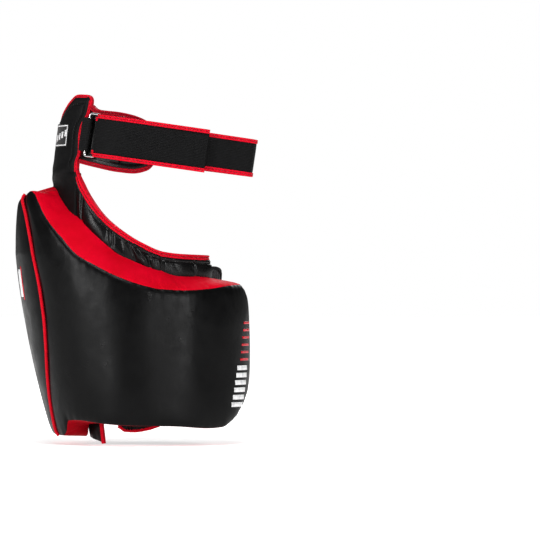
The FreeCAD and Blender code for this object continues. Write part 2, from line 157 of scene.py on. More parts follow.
def edge_height(outer, inner, angle, r):
    """Height of an edge that runs from the outer face's curve in to the lining's."""
    return mix(outer(angle), inner(angle), np.clip((OUTER_R - r) / EDGE_DEPTH, 0, 1))


def guard_top(angle, r):
    return edge_height(TOP_OUTER, TOP_INNER, angle, r)


def guard_bottom(angle, r):
    return edge_height(BOTTOM_OUTER, BOTTOM_INNER, angle, r)


def fade(distance, reach):
    """1 at an edge, dying away over that reach."""
    return np.exp(-np.maximum(distance, 0) / reach)


def bell(distance, width):
    """1 on a seam or crease, and about a third at that width from it."""
    return np.exp(-(distance / width) ** 2)


def rough(x, y, seed, size):
    """Gentle unevenness from -1 to 1 over the plane; size is its usual distance in x and y."""
    rng = np.random.default_rng(seed)
    total = 0.0
    for _ in range(7):
        turn, phase, scale = rng.uniform(0, math.tau), rng.uniform(0, math.tau), rng.uniform(0.6, 1.7)
        total = total + np.sin((np.cos(turn) * x / size[0] + np.sin(turn) * y / size[1]) * scale * 2.4 + phase)
    return total / 3.2


def spacing(n, ease=0.0):
    """n values from 0 to 1, closer together towards both ends."""
    t = np.linspace(0, 1, n)
    return mix(t, (1 - np.cos(math.pi * t)) / 2, ease)


def axes(nu, nv, ease_u=0.0, ease_v=0.0):
    """Values from 0 to 1 down and across a grid."""
    return spacing(nu, ease_u)[:, None], spacing(nv, ease_v)[None, :]


def settled(u, v, height, first, last, low, high):
    """Angles and heights of a grid whose ends depend on the height, and whose edges depend on the angle."""
    z = np.full((len(u), v.shape[1]), height)
    for _ in range(8):
        angle = mix(first(z), last(z), u)
        z = mix(low(angle), high(angle), v)
    return angle, z


# mesh making
def mesh_object(name, points, faces, slots=None, uv=None):
    mesh = bpy.data.meshes.new(name)
    mesh.from_pydata((np.asarray(points) * MM).tolist(), [], [list(map(int, f)) for f in faces])
    if slots is not None:
        mesh.polygons.foreach_set("material_index", np.asarray(slots, np.int32))
    if uv is not None:
        layer = mesh.uv_layers.new(name="length")
        loops = np.empty(len(mesh.loops), np.int32)
        mesh.loops.foreach_get("vertex_index", loops)
        layer.data.foreach_set("uv", (np.asarray(uv) * MM)[loops].astype(np.float32).ravel())
    mesh.polygons.foreach_set("use_smooth", [True] * len(mesh.polygons))
    obj = bpy.data.objects.new(name, mesh)
    bpy.context.collection.objects.link(obj)
    return obj


def closed(obj, merge=None):
    """Turns every face outward, after points closer than merge metres are joined."""
    bm = bmesh.new()
    bm.from_mesh(obj.data)
    if merge:
        bmesh.ops.remove_doubles(bm, verts=bm.verts, dist=merge)
    bmesh.ops.recalc_face_normals(bm, faces=bm.faces)
    bm.to_mesh(obj.data)
    bm.free()
    return obj


def quads(nu, nv, first=0, around=False):
    """Faces of a grid whose points run along v first. around joins the last v to the first."""
    i, j = np.meshgrid(np.arange(nu - 1), np.arange(nv if around else nv - 1), indexing="ij")
    k = (j + 1) % nv
    return first + np.stack([i * nv + j, (i + 1) * nv + j, (i + 1) * nv + k, i * nv + k], -1).reshape(-1, 4)


def sewn(name, grids):
    """One closed mesh from grids of points that meet along their edges. Each is (points, material slot)."""
    points, faces, slots, first = [], [], [], 0
    for grid, slot in grids:
        nu, nv = grid.shape[:2]
        points.append(grid.reshape(-1, 3))
        f = quads(nu, nv, first)
        faces.append(f)
        slots += [slot] * len(f)
        first += nu * nv
    return closed(mesh_object(name, np.concatenate(points), np.concatenate(faces), slots), SEW_DISTANCE)


def coons(left, right, low, high, bulge):
    """A grid that fills four curves: left and right run along i, low and high along j."""
    n, m = len(left), len(low)
    v = np.linspace(0, 1, n)[:, None, None]
    w = np.linspace(0, 1, m)[None, :, None]
    corners = (
        left[0] * (1 - v) * (1 - w) + right[0] * (1 - v) * w + left[-1] * v * (1 - w) + right[-1] * v * w
    )
    grid = left[:, None] * (1 - w) + right[:, None] * w + low[None] * (1 - v) + high[None] * v - corners
    return grid + bulge * (np.sin(math.pi * v) * np.sin(math.pi * w)) ** 0.7


def tangents(path):
    d = np.gradient(path, axis=0)
    return d / np.maximum(np.linalg.norm(d, axis=1, keepdims=True), 1e-9)


def run_length(path):
    return np.concatenate(([0.0], np.cumsum(np.linalg.norm(np.diff(path, axis=0), axis=1))))


def resample(path, pitch, *more):
    """The path and anything that goes with it at an even pitch."""
    s = run_length(path)
    n = max(2, int(round(s[-1] / pitch)) + 1)
    t = np.linspace(0, s[-1], n)
    out = [np.stack([np.interp(t, s, col) for col in np.asarray(a, float).T], -1) for a in (path, *more)]
    return out[0] if not more else out


def rounded(path, times):
    """The path with its corners worn off."""
    for _ in range(times):
        path = np.concatenate((path[:1], path[1:-1] * 0.5 + (path[:-2] + path[2:]) * 0.25, path[-1:]))
    return path


def per_point(value, path):
    return np.broadcast_to(np.asarray(value, float), (len(path),))[:, None]


def swept(name, path, across, out, profile):
    """A closed profile carried along a path. profile is (across, outward) pairs, or one such list per point."""
    n = len(path)
    profile = np.asarray(profile, float)
    if profile.ndim == 2:
        profile = np.broadcast_to(profile, (n,) + profile.shape)
    m = profile.shape[1]
    grid = path[:, None] + across[:, None] * profile[..., :1] + out[:, None] * profile[..., 1:]
    faces = quads(n, m, 0, True).tolist() + [list(range(m)), [(n - 1) * m + k for k in range(m)][::-1]]
    s = run_length(path)
    loop = np.linalg.norm(np.roll(profile, -1, 1) - profile, axis=2)
    around = np.concatenate((np.zeros((n, 1)), np.cumsum(loop, 1)[:, :-1]), 1)
    uv = np.stack([np.broadcast_to(s[:, None], (n, m)), around], -1)
    return closed(mesh_object(name, grid.reshape(-1, 3), faces, uv=uv.reshape(-1, 2)))


def tube(name, path, radius, sides=8):
    """A round cord of that radius along a path, with ends drawn in."""
    t = tangents(path)
    side = np.cross(t, (0.1, 0.2, 1.0))
    side /= np.maximum(np.linalg.norm(side, axis=1, keepdims=True), 1e-9)
    a = np.arange(sides) * math.tau / sides
    ring = np.stack([np.cos(a), np.sin(a)], -1) * per_point(radius, path)[..., None]
    return swept(name, path, side, np.cross(t, side), ring)


def stitches(name, path, out, pitch=4.2, length=2.9, thick=0.42, lift=0.15):
    """A row of short raised threads along a path; out is the way they face."""
    path, out = resample(path, pitch / 4, path * 0 + out)
    t = tangents(path)
    points, faces = [], []
    ring = np.array([(1, 0), (0.5, 0.8), (-0.5, 0.8), (-1, 0), (0, -0.6)])
    for i in range(2, len(path) - 2, 4):
        side = np.cross(t[i], out[i])
        for along, size in ((-0.5, 0.35), (-0.32, 1.0), (0.32, 1.0), (0.5, 0.35)):
            centre = path[i] + t[i] * along * length + out[i] * (lift if abs(along) < 0.4 else -0.1)
            points += [centre + side * x * thick * size + out[i] * y * thick * size for x, y in ring]
        first = len(points) - 20
        faces += quads(4, 5, first, True).tolist()
        faces += [[first + k for k in range(5)], [first + 15 + k for k in range(5)][::-1]]
    return closed(mesh_object(name, np.array(points), faces))


def dress(obj, body, materials, nodes=()):
    """Materials, the body it rides on (or "flex" for pieces of the flexible hanger and collar, which are left
    unattached with their transform baked in), and the nodes it stands for.
    """
    for m in materials if isinstance(materials, (list, tuple)) else [materials]:
        obj.data.materials.append(m)
    if body == "flex":
        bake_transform(obj)
    else:
        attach(obj, body)
    if nodes:
        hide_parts(*nodes)


# materials
WAVE_SCALE = 0.314159


def grey(value, blue=None):
    return value, value, value if blue is None else blue


class Finish:
    """A material under construction: its shader's sockets are set by name and its textures are added one by one."""

    def __init__(self, name, rough_value=0.5, coords="Object", **sockets):
        self.material = bpy.data.materials.new(name)
        self.material.use_nodes = True
        self.tree = self.material.node_tree
        self.shader = self.tree.nodes["Principled BSDF"]
        self.shader.inputs["Roughness"].default_value = rough_value
        for key, value in sockets.items():
            self.shader.inputs[key.replace("_", " ")].default_value = value
        self.coords = self.add("TexCoord").outputs[coords]
        self.height = None

    def add(self, kind, **inputs):
        node = self.tree.nodes.new("ShaderNode" + kind)
        for key, value in inputs.items():
            self.set(node, key.replace("_", " "), value)
        return node

    def set(self, node, key, value):
        if isinstance(value, bpy.types.NodeSocket):
            self.tree.links.new(value, node.inputs[key])
        else:
            node.inputs[key].default_value = value

    def noise(self, size, detail=3.0, stretch=(1, 1, 1)):
        """Noise whose features are about that many millimetres across."""
        warp = self.add("Mapping", Vector=self.coords, Scale=stretch)
        return self.add("TexNoise", Vector=warp.outputs[0], Scale=1 / (size * MM), Detail=detail).outputs["Fac"]

    def cells(self, size, feature="DISTANCE_TO_EDGE"):
        node = self.add("TexVoronoi", Vector=self.coords, Scale=1 / (size * MM))
        node.feature = feature
        return node.outputs["Distance"]

    def ribs(self, pitch, direction="Y", wobble=0.0):
        """Even ribs, pitch millimetres apart."""
        node = self.add("TexWave", Vector=self.coords, Scale=WAVE_SCALE / (pitch * MM), Distortion=wobble)
        node.wave_profile = "SIN"
        node.bands_direction = direction
        node.inputs["Detail Scale"].default_value = 2.0
        return node.outputs["Fac"]

    def span(self, value, low, high, to=(0.0, 1.0)):
        node = self.add("MapRange", Value=value)
        for key, v in zip(("From Min", "From Max", "To Min", "To Max"), (low, high, *to)):
            node.inputs[key].default_value = v
        return node.outputs["Result"]

    def math(self, how, a, b):
        node = self.add("Math")
        node.operation = how
        for i, v in enumerate((a, b)):
            self.set(node, i, v)
        return node.outputs[0]

    def colour(self, fac, *stops):
        ramp = self.add("ValToRGB", Fac=fac)
        elements = ramp.color_ramp.elements
        while len(elements) < len(stops):
            elements.new(0.5)
        for element, (at, rgb) in zip(elements, stops):
            element.position = at
            element.color = (*rgb, 1.0)
        self.tree.links.new(ramp.outputs["Color"], self.shader.inputs["Base Color"])

    def roughness(self, fac, low, high):
        self.tree.links.new(self.span(fac, 0.3, 0.7, (low, high)), self.shader.inputs["Roughness"])

    def bump(self, value, depth, strength=1.0):
        """Adds relief that many millimetres deep on top of what is there."""
        node = self.add("Bump", Height=value, Distance=depth * MM, Strength=strength)
        if self.height is not None:
            self.tree.links.new(self.height, node.inputs["Normal"])
        self.height = node.outputs["Normal"]
        self.tree.links.new(self.height, self.shader.inputs["Normal"])


def leather(name, low, high, rough_low, rough_high, grain, relief, gloss=0.11):
    f = Finish(name, Specular_IOR_Level=gloss)
    f.colour(f.noise(38, 4), (0.3, low), (0.75, high))
    f.roughness(f.noise(17, 5), rough_low, rough_high)
    f.bump(f.noise(30, 3), 1.0, 0.5)
    f.bump(f.noise(5, 3, (1, 1, 0.45)), 0.1, 0.5)
    f.bump(f.span(f.cells(grain), 0.0, 0.22), relief, 0.8)
    return f.material


def fabric(name, low, high, pitch, thread, relief, rough_value=0.7, sheen=0.25, along="Y"):
    """Woven tape or cloth: ribs one way and threads the other, laid along the piece."""
    f = Finish(name, rough_value, "UV", Sheen_Weight=sheen, Sheen_Roughness=0.45, Specular_IOR_Level=0.1)
    ribs = f.ribs(pitch, along, 0.25)
    threads = f.ribs(thread, "X" if along == "Y" else "Y", 0.4)
    weave = f.math("MULTIPLY", f.span(ribs, 0, 1), f.span(threads, 0, 1, (0.55, 1.0)))
    wear = f.noise(9, 4)
    # Colour follows the weave's relief: darker grooves are painted shade, mixed with random wear tone.
    groove_shade_and_wear = f.math("ADD", f.math("MULTIPLY", weave, 0.6), f.math("MULTIPLY", wear, 0.4))
    f.colour(groove_shade_and_wear, (0.15, low), (0.8, high))
    f.roughness(wear, rough_value - 0.08, rough_value + 0.1)
    f.bump(f.noise(16, 3), 0.7, 0.5)
    f.bump(weave, relief)
    return f.material


def fuzz(name, low, high, size, relief, sheen):
    """Hooks, loops and knitted cloth."""
    f = Finish(name, 0.85, Sheen_Weight=sheen, Sheen_Roughness=0.5, Specular_IOR_Level=0.2)
    grain = f.cells(size, "F1")
    pile = f.math("ADD", f.span(grain, 0, 0.8, (0.0, 0.7)), f.span(f.noise(7), 0, 1, (0.0, 0.3)))
    f.colour(pile, (0.2, high), (0.8, low))
    f.roughness(f.noise(6), 0.75, 0.95)
    f.bump(f.noise(1.4, 5), relief * 0.6)
    f.bump(grain, relief)
    return f.material


def mesh_cloth(name):
    """Open knitted mesh: round eyes in a net of raised yarn."""
    f = Finish(name, 0.6, Sheen_Weight=0.3, Sheen_Roughness=0.4, Specular_IOR_Level=0.4)
    eyes = f.add("TexVoronoi", Vector=f.coords, Scale=1 / (2.9 * MM), Randomness=0.12).outputs["Distance"]
    net = f.span(eyes, 0.22, 0.5)
    f.colour(net, (0.1, grey(0.002)), (0.9, grey(0.035, 0.037)))
    f.roughness(f.noise(4), 0.5, 0.7)
    f.bump(f.noise(30, 2), 0.8, 0.5)
    f.bump(net, 0.5)
    return f.material


def printed(name, low, high):
    f = Finish(name, 0.4, Specular_IOR_Level=0.4, Coat_Weight=0.15, Coat_Roughness=0.3)
    f.colour(f.noise(6, 5), (0.3, low), (0.6, high))
    f.roughness(f.noise(9, 4), 0.34, 0.5)
    f.bump(f.noise(5, 3), 0.15, 0.5)
    f.bump(f.span(f.cells(1.3), 0.0, 0.22), 0.08, 0.6)
    return f.material


def wire():
    f = Finish("ring_wire", 0.2, Metallic=1.0)
    f.colour(f.noise(12, 5), (0.35, grey(0.42, 0.43)), (0.7, grey(0.68, 0.69)))
    f.roughness(f.noise(3, 6), 0.14, 0.3)
    f.bump(f.noise(0.8, 4), 0.02)
    return f.material


BLACK = leather("black_leather", grey(0.002, 0.0022), grey(0.004, 0.0042), 0.27, 0.42, 1.3, 0.025, 0.15)
MATTE = leather("black_leather_matte", grey(0.0045, 0.0048), grey(0.008, 0.0083), 0.48, 0.6, 1.1, 0.07)
GLOSSY = leather("black_leather_glossy", grey(0.0035, 0.0037), grey(0.006, 0.0062), 0.2, 0.34, 1.2, 0.04, 0.22)
RED = leather("red_leather", (0.50, 0.0003, 0.012), (0.62, 0.0006, 0.022), 0.5, 0.62, 1.2, 0.05, 0.04)
# A darker copy of the red leather for the downward-facing underside strips: painted shade, not a different leather.
RED_SHADED = leather("red_leather_underside_shaded", (0.30, 0.001, 0.008), (0.42, 0.0015, 0.012), 0.5, 0.62, 1.2, 0.05, 0.04)
TAPE = fabric("red_tape", (0.46, 0.0003, 0.012), (0.70, 0.0007, 0.026), 1.5, 1.1, 0.14, 0.6, 0.04)
# A darker copy of the red tape for the tongue's binding, which lies in the strap's shadow: painted shade.
TAPE_SHADED = fabric("red_tape_shaded", (0.26, 0.0002, 0.008), (0.46, 0.0006, 0.018), 1.5, 1.1, 0.14, 0.6, 0.04)
PIPING = fabric("red_piping", (0.46, 0.001, 0.012), (0.74, 0.002, 0.022), 1.1, 1.1, 0.15, 0.5, 0.04, "X")
THREAD_RED = fabric("red_thread", (0.16, 0.001, 0.006), (0.32, 0.002, 0.012), 0.8, 0.6, 0.1, 0.5)
THREAD_BLACK = fabric("black_thread", grey(0.006), grey(0.02), 0.8, 0.6, 0.1, 0.5)
WEBBING = fabric("black_webbing", grey(0.002, 0.0022), grey(0.0095, 0.01), 2.1, 1.3, 0.34, 0.5, 0.03)
WEBBING_BACK = fabric("black_webbing_inner", grey(0.003), grey(0.012, 0.013), 2.4, 1.3, 0.4, 0.62, 0.04)
ELASTIC = fabric("black_elastic", grey(0.005, 0.0055), grey(0.028, 0.03), 1.9, 2.6, 0.4, 0.62, 0.15)
HOOKS = fuzz("hook_tape", grey(0.004), grey(0.03, 0.032), 1.2, 0.5, 0.15)
LOOPS = fuzz("loop_tape", grey(0.006), grey(0.045, 0.048), 0.9, 0.4, 0.5)
LINING = fuzz("lining_cloth", grey(0.006, 0.0065), grey(0.02, 0.021), 0.7, 0.1, 0.2)
MESH = mesh_cloth("stretch_mesh")
WHITE_PRINT = printed("white_print", grey(0.62, 0.63), grey(0.85))
RED_PRINT = printed("red_print", (0.42, 0.002, 0.012), (0.62, 0.004, 0.022))
LABEL_DARK = fabric("label_ground", grey(0.004), grey(0.018, 0.019), 0.6, 0.6, 0.06, 0.6)
LABEL_LIGHT = fabric("label_thread", grey(0.5, 0.51), grey(0.8), 0.6, 0.6, 0.08, 0.6)
CHROME = wire()


# the two blocks
BESIDE_PIPING = 0.3
CROSS_SEAM = -53.6
BOTTOM_SEAM = smooth(
    (-130, -66), (-115, -96), (-95, -114), (-70, -122), (-62, -125), (-57, -122), (-51, -108), (-25, -106),
    (20, -108), (42, -111), (58, -101), (70, -81), (80, -50), (86, -18))


def lower_seam(angle, r):
    return edge_height(BOTTOM_OUTER, BOTTOM_SEAM, angle, r)


def along_arc(angle, z):
    """Distance round the outer face in millimetres."""
    return np.radians(angle) * OUTER_R * np.where(np.asarray(angle) < 0, width_scale(angle, z), 1.0)


def face_radius(angle, z):
    """The outer face: crowned, a little uneven, and drawn in at its seams, its piping and its ends."""
    top = guard_top(angle, OUTER_R) - z
    low = z - guard_bottom(angle, OUTER_R)
    groove = np.abs(along_arc(angle, z) - along_arc(PIPING_ANGLE(z), z))
    x = along_arc(angle, z)
    ends = np.minimum(along_arc(INNER_ANGLE, z) - x, x - along_arc(REAR_ANGLE, z))
    nearest = np.minimum(np.minimum(top, low), np.minimum(groove * 1.4, ends))
    r = OUTER_R + 1.4 * step(0, 55, nearest) + 1.1 * rough(x, z, 3, (75, 130))
    r = r + 0.45 * rough(x, z, 8, (26, 40)) * (0.35 + np.exp(-nearest / 22))
    r = r + 1.3 * np.cos(math.tau * (x + 12) / 105) * step(-95, -40, x) * step(120, 70, x) * step(0, 60, low)
    pucker = rough(x, z * 0.15, 21, (6.5, 40)) * np.exp(-np.minimum(top, low) / 7)
    r = r + 0.55 * pucker
    r = r - 2.8 * fade(top, 17)
    r = r - 3.2 * fade(top, 3.6) - 4.0 * fade(low, 6.0)
    return r - 4.2 * fade(ends, 6.0) - 2.6 * fade(groove - 2, 4.0)


def face_grid(first, last, nu, nv):
    """Points of the outer face between two ends, each an angle as a function of height."""
    angle, z = settled(*axes(nu, nv, 0.5, 0.6), 0.0, first, last, lambda a: guard_bottom(a, OUTER_R),
                       lambda a: guard_top(a, OUTER_R))
    return angle, z, face_radius(angle, z)


def block(name, first, last, nu, nodes):
    """A padded block as one closed form: face, top, lining, underside and both ends."""
    nv, ng = 120, 30
    angle, z, r = face_grid(first, last, nu, nv)
    w = spacing(ng, 0.6)[None, :]

    def edge(a, zed, rad, level, sign, tall):
        """The strip from the face's edge in to the lining."""
        a = a[:, None]
        radius = mix(rad[:, None], INNER_R, w)
        height = mix(zed[:, None], level(a, INNER_R), w)
        x = along_arc(a, height)
        body = np.sin(math.pi * w ** 0.55)
        folds = 1.5 * rough(x, radius, 31, (9, 60)) * np.exp(-(radius - INNER_R) / 14)
        folds = folds + 0.5 * rough(x, radius, 32, (40, 60))
        seam = x - along_arc(CROSS_SEAM, height) + 0.25 * (radius - 130)
        folds = (folds if sign > 0 else 0.4 * folds) - 2.2 * bell(seam, 1.5)
        return place(a, height + sign * (tall + folds) * body, radius)

    face = place(angle, z, r)
    top = edge(angle[:, -1], z[:, -1], r[:, -1], guard_top, 1, 2.0)
    under = edge(angle[:, 0], z[:, 0], r[:, 0], lower_seam, -1, 0.5)
    v = spacing(nv, 0.6)[None, :]
    back_angle = angle[:, -1:] * v + angle[:, :1] * (1 - v)
    back_z = mix(lower_seam(angle[:, :1], INNER_R), guard_top(angle[:, -1:], INNER_R), v)
    lining = place(back_angle, back_z, INNER_R - 0.8 * np.sin(math.pi * v))
    ends = []
    for k, sign in ((0, -1), (-1, 1)):
        mean = float(np.mean(angle[k]))
        side = np.array([math.cos(math.radians(mean)), math.sin(math.radians(mean)), 0.0]) * sign
        ends.append(coons(face[k], lining[k], under[k], top[k], side * 1.6))
    obj = sewn(name, [(face, 0), (top, 1), (under, 2), (lining, 3), (ends[0], 0), (ends[1], 0)])
    # slot 2, the underside strip, takes the darker red copy: painted shade.
    dress(obj, "guard", [BLACK, RED, RED_SHADED, LINING], nodes)


block(
    "front_block", lambda z: PIPING_ANGLE(z) + BESIDE_PIPING, lambda z: INNER_ANGLE, 190,
    ("front_cover", "front_foam_inner", "front_foam_middle", "front_foam_outer", "top_gusset_inner",
     "bottom_gusset_inner", "inner_edge_panel", "channel_lining"))
block(
    "side_block", lambda z: REAR_ANGLE, lambda z: PIPING_ANGLE(z) - BESIDE_PIPING, 90,
    ("side_cover", "side_foam_inner", "side_foam_middle", "side_foam_outer", "top_gusset_outer",
     "bottom_gusset_outer", "rear_edge_panel"))


def piping_path(lift):
    z = np.linspace(-123.5, 207, 150)
    angle = PIPING_ANGLE(z)
    keep = (z > guard_bottom(angle, OUTER_R) + 4) & (z < guard_top(angle, OUTER_R) - 5)
    z, angle = z[keep], angle[keep]
    path = place(angle, z, OUTER_R + lift - 1.0)
    top, bottom = guard_top(angle[-1], OUTER_R), guard_bottom(angle[0], OUTER_R)
    over = place([angle[-1]] * 2, top - np.array([1.6, -0.2]), OUTER_R - np.array([1.9, 4.6]))
    under = place([angle[0]] * 2, bottom + np.array([1.0, -0.4]), OUTER_R - np.array([1.7, 4.2]))
    return np.concatenate((under[::-1], path, over))


piping = piping_path(0.6)
ribbed = resample(rounded(piping, 2), 0.8)
cord_radius = 2.45 + 0.2 * np.sin(run_length(ribbed) * math.tau / 3.2)
dress(tube("side_piping_cord", ribbed, cord_radius, 10), "guard", PIPING, ("side_piping",))


# hanger and collar
HANGER_R = 108


def layer_radius(z):
    """Middle of the hanger's thickness, which runs on as the collar's."""
    return mix(105.3, hanger_radius(z) - 5.5, step(222, 246, z))


def closed_pad(name, angle, z, middle, half):
    """A thin padded form between two faces that meet round its edge. half is half its thickness."""
    outer = place(angle, z, middle + half)
    inner = place(angle, z, middle - half)
    rims = [np.stack([a, mix(a, b, 0.5), b], 1) for a, b in (
        (outer[0], inner[0]), (outer[-1], inner[-1]), (outer[:, 0], inner[:, 0]), (outer[:, -1], inner[:, -1]))]
    return sewn(name, [(outer, 0), (inner, 1)] + [(rim, 0) for rim in rims])


def edge_round(d, reach):
    """From 0 at an edge to 1 at that distance from it, like a quarter round."""
    t = np.clip(d / reach, 0, 1)
    return np.sqrt(1 - (1 - t) ** 2)


def hanger_pad():
    per_degree = 1.85
    angle, z = settled(*axes(110, 130, 0.4, 0.4), 250.0, lambda z: -125.2,
                       lambda z: np.where(z > 244, HANGER_FRONT(z) - 1.2, -45.2),
                       lambda a: TOP_INNER(a) - 6, lambda a: HANGER_TOP(a) - 1.6)
    x, top = np.radians(angle) * HANGER_R, HANGER_TOP(angle) - z
    rear = (angle + 126) * per_degree
    front = np.where(z > 236, (HANGER_FRONT(z) - angle) * per_degree, 40)
    nearest = np.minimum(np.minimum(top, rear), front)
    half = 1.3 + 4.6 * edge_round(nearest - 1.5, 20) + 0.5 * rough(x, z, 41, (34, 44)) * step(0, 20, nearest)
    half = half + 0.5 * rough(x, z, 42, (9, 30)) * np.exp(-nearest / 12)
    folds = rough(x + 0.6 * z, z - 0.3 * x, 43, (30, 8))
    half = half + folds * bell(z - 228, 24) * step(0, 8, nearest)
    half = half - 1.6 * bell(nearest - 11.0, 1.6) * step(236, 250, z)
    return closed_pad("hanger_pad", angle, z, layer_radius(z), half)


dress(hanger_pad(), "flex", [MATTE, LINING],
      ("hanger_root", "hanger_cover", "hanger_foam", "hanger_lining"))

COLLAR_SEAMS = (-39.0, 10.6, 20.1, 47.0)
COLLAR_CREASES = (-21, -16.5, -11, -6.5, -1.5, 4.2, 8.5, 15, 28, 40)


def collar_pad():
    per_degree = 1.88
    u, v = axes(300, 44, 0.1, 0.3)
    angle = mix(-50.0, 68.0, u) + 0 * v
    low, high = TOP_INNER(angle) - 9, np.minimum(BINDING_TOP(angle), 240) - 3.0
    z = mix(low, high, v)
    x = np.radians(angle) * HANGER_R
    tall = high - TOP_INNER(angle)
    crown = np.sin(math.pi * np.clip((z - low) / (high - low), 0, 1) ** 0.9) ** 0.55
    half = 2.2 + 5.6 * crown * step(-50, -38, angle) + 1.6 * step(-38, -50, angle)
    busy = step(-27, -14, angle) * step(19, 8, angle)
    lumps = 1.3 * rough(x, z, 51, (26, 30)) + (0.3 + 1.3 * busy) * rough(x + 0.5 * z, z * 0.5, 52, (17, 26))
    half = half + lumps * crown
    lean = 0.35 * (z - high) * step(-25, 0, angle)
    for k, seam in enumerate(COLLAR_SEAMS):
        d = (angle - seam) * per_degree + lean * (0.4 - 0.2 * (k % 3))
        half = half - 2.6 * bell(d, 2.6) * crown
    for k, crease in enumerate(COLLAR_CREASES):
        d = (angle - crease) * per_degree + lean * (1.3 + 0.9 * math.sin(k * 5.1)) + 1.8 * np.sin(z / 9 + k)
        half = half - (1.3 + 0.7 * math.sin(k * 2.3)) * bell(d, 2.5) * crown * step(0.02, 0.5, v) * (0.3 + busy)
    seam_line = 1.4 * bell(high - z - 7.5, 1.3) * step(2, 12, tall)
    return closed_pad("collar_pad", angle, z, layer_radius(z), np.maximum(half - seam_line, 0.9))


dress(collar_pad(), "flex", [GLOSSY, LINING],
      ("collar_foam", "collar_outer_leather", "collar_inner_leather"))


def edge_path():
    """Free edge of hanger and collar: up the back, over the top, down the front and on along the collar."""
    rear = [(-126.0, z) for z in np.linspace(170, 230, 14)]
    over = [(a, float(HANGER_TOP(a))) for a in np.linspace(-126, -36.5, 70)]
    down = [(float(HANGER_FRONT(z)), z) for z in np.linspace(334, 244, 44)]
    collar = [(a, float(BINDING_TOP(a))) for a in np.linspace(-45.9, 68, 120)]
    return np.array(rear + over + down + collar).T


def taped_edge(name, path, out, width, half, lip=0.9):
    """Tape folded over an edge: two rolls with a stitched groove between them, inside and outside."""
    inward = np.cross(tangents(path), out)
    across = np.array([0.0, 0.05, 0.16, 0.3, 0.42, 0.5, 0.58, 0.7, 0.86, 0.97, 1.0])
    rise = np.array([-0.45, -0.1, 0.06, 0.06, -0.08, -0.22, -0.08, 0.06, 0.05, -0.1, -0.3])
    width, half = per_point(width, path), per_point(half, path)
    front = np.stack([width * across - lip, half * (1 + rise)], -1)
    return swept(name, path, inward, out, np.concatenate((front, front[:, ::-1] * (1, -1)), 1)), inward


def routed(angle, z, radius, pitch, times):
    """An even path through those places with its corners worn off, and the angle and height along it."""
    path, where = resample(place(angle, z, radius), pitch, np.stack([angle, z], -1))
    return rounded(path, times), where


angle, z = edge_path()
edge, where = routed(angle, z, layer_radius(z), 1.6, 6)
edge_out = outward(where[:, 0])
on_collar = step(240, 215, where[:, 1]) * step(-60, -44, where[:, 0])
tape_width = mix(4.6, 7.4, on_collar) + 0.3 * rough(run_length(edge), 0, 61, (20, 20))
tape_half = mix(3.3, 5.0, on_collar) + 0.25 * rough(run_length(edge), 0, 62, (14, 14))
tape, edge_in = taped_edge("edge_tape", edge, edge_out, tape_width, tape_half)
dress(tape, "flex", TAPE, ("hanger_binding", "collar_binding"))
seam = edge + edge_in * (tape_width[:, None] * 0.5 - 0.9) + edge_out * (tape_half[:, None] * 0.93)
dress(stitches("edge_tape_stitches", seam, edge_out), "flex", THREAD_RED)


def top_stitch(name, points, body, lift, thread, pitch=4.2):
    """Stitches along (angle, height) points of the hanger or collar."""
    a, zed = np.array(points, float).T
    path = place(a, zed, layer_radius(zed) + lift)
    dress(stitches(name, path, outward(a), pitch), body, thread)


line = [(a, float(HANGER_TOP(a)) - 12.5) for a in np.linspace(-119, -44, 60)]
line += [(float(HANGER_FRONT(zed)) - 6.3, zed) for zed in np.linspace(326, 246, 40)]
top_stitch("hanger_stitches", line, "flex", 5.6, THREAD_BLACK)
top_stitch("collar_stitches", [(a, float(BINDING_TOP(a)) - 10.5) for a in np.linspace(-43, 66, 110)], "flex", 4.9,
           THREAD_BLACK)


# label
LABEL_BOX = (-83, -57, 273, 303)


def plate(name, blocks, lifts, at):
    """Thin flat pieces, each from (first angle, last angle, low, high), between two lifts."""
    points, faces, uvs, first = [], [], [], 0
    for a0, a1, z0, z1 in blocks:
        n, m = max(3, int(abs(a1 - a0) / 1.5)), max(3, int(abs(z1 - z0) / 3))
        a, zed = np.meshgrid(np.linspace(a0, a1, n), np.linspace(z0, z1, m), indexing="ij")
        for k, lift in enumerate(lifts):
            points.append(at(a, zed, lift).reshape(-1, 3))
            uvs.append(np.stack([np.radians(a) * HANGER_R, zed], -1).reshape(-1, 2))
            f = quads(n, m, first + k * n * m)
            faces += (f if k else f[:, ::-1]).tolist()
        rim = [i * m for i in range(n)] + [(n - 1) * m + j for j in range(1, m)]
        rim += [i * m + m - 1 for i in range(n - 2, -1, -1)] + [j for j in range(m - 2, 0, -1)]
        for i, j in zip(rim, rim[1:] + rim[:1]):
            faces.append([first + i, first + j, first + n * m + j, first + n * m + i])
        first += 2 * n * m
    return closed(mesh_object(name, np.concatenate(points), faces, uv=np.concatenate(uvs)))


def label_at(angle, z, lift):
    return place(angle, z, layer_radius(z) + 6.1 + lift)


dress(plate("label_ground", [LABEL_BOX], (-0.6, 0.5), label_at), "hanger", LABEL_DARK,
      ("label_patch",))
frame_bars = [(-82.2, -57.8, 300.4, 302.2), (-82.2, -57.8, 273.8, 275.6), (-82.2, -81.2, 275.6, 300.4),
              (-58.8, -57.8, 275.6, 300.4)]
motif = [(-78.0 + 5.4 * i, -74.6 + 5.4 * i, 280 + 2.2 * i, 289 + 2.2 * i) for i in range(4)]
dress(plate("label_frame", frame_bars, (0.4, 0.85), label_at), "hanger", LABEL_LIGHT)
dress(plate("label_motif", motif, (0.4, 0.8), label_at), "hanger", LABEL_LIGHT)
ring_line = [(-83.4, 272.4), (-56.6, 272.4), (-56.6, 303.6), (-83.4, 303.6), (-83.4, 272.4)]
top_stitch("label_stitches", ring_line, "hanger", 6.1, THREAD_BLACK, 3.2)


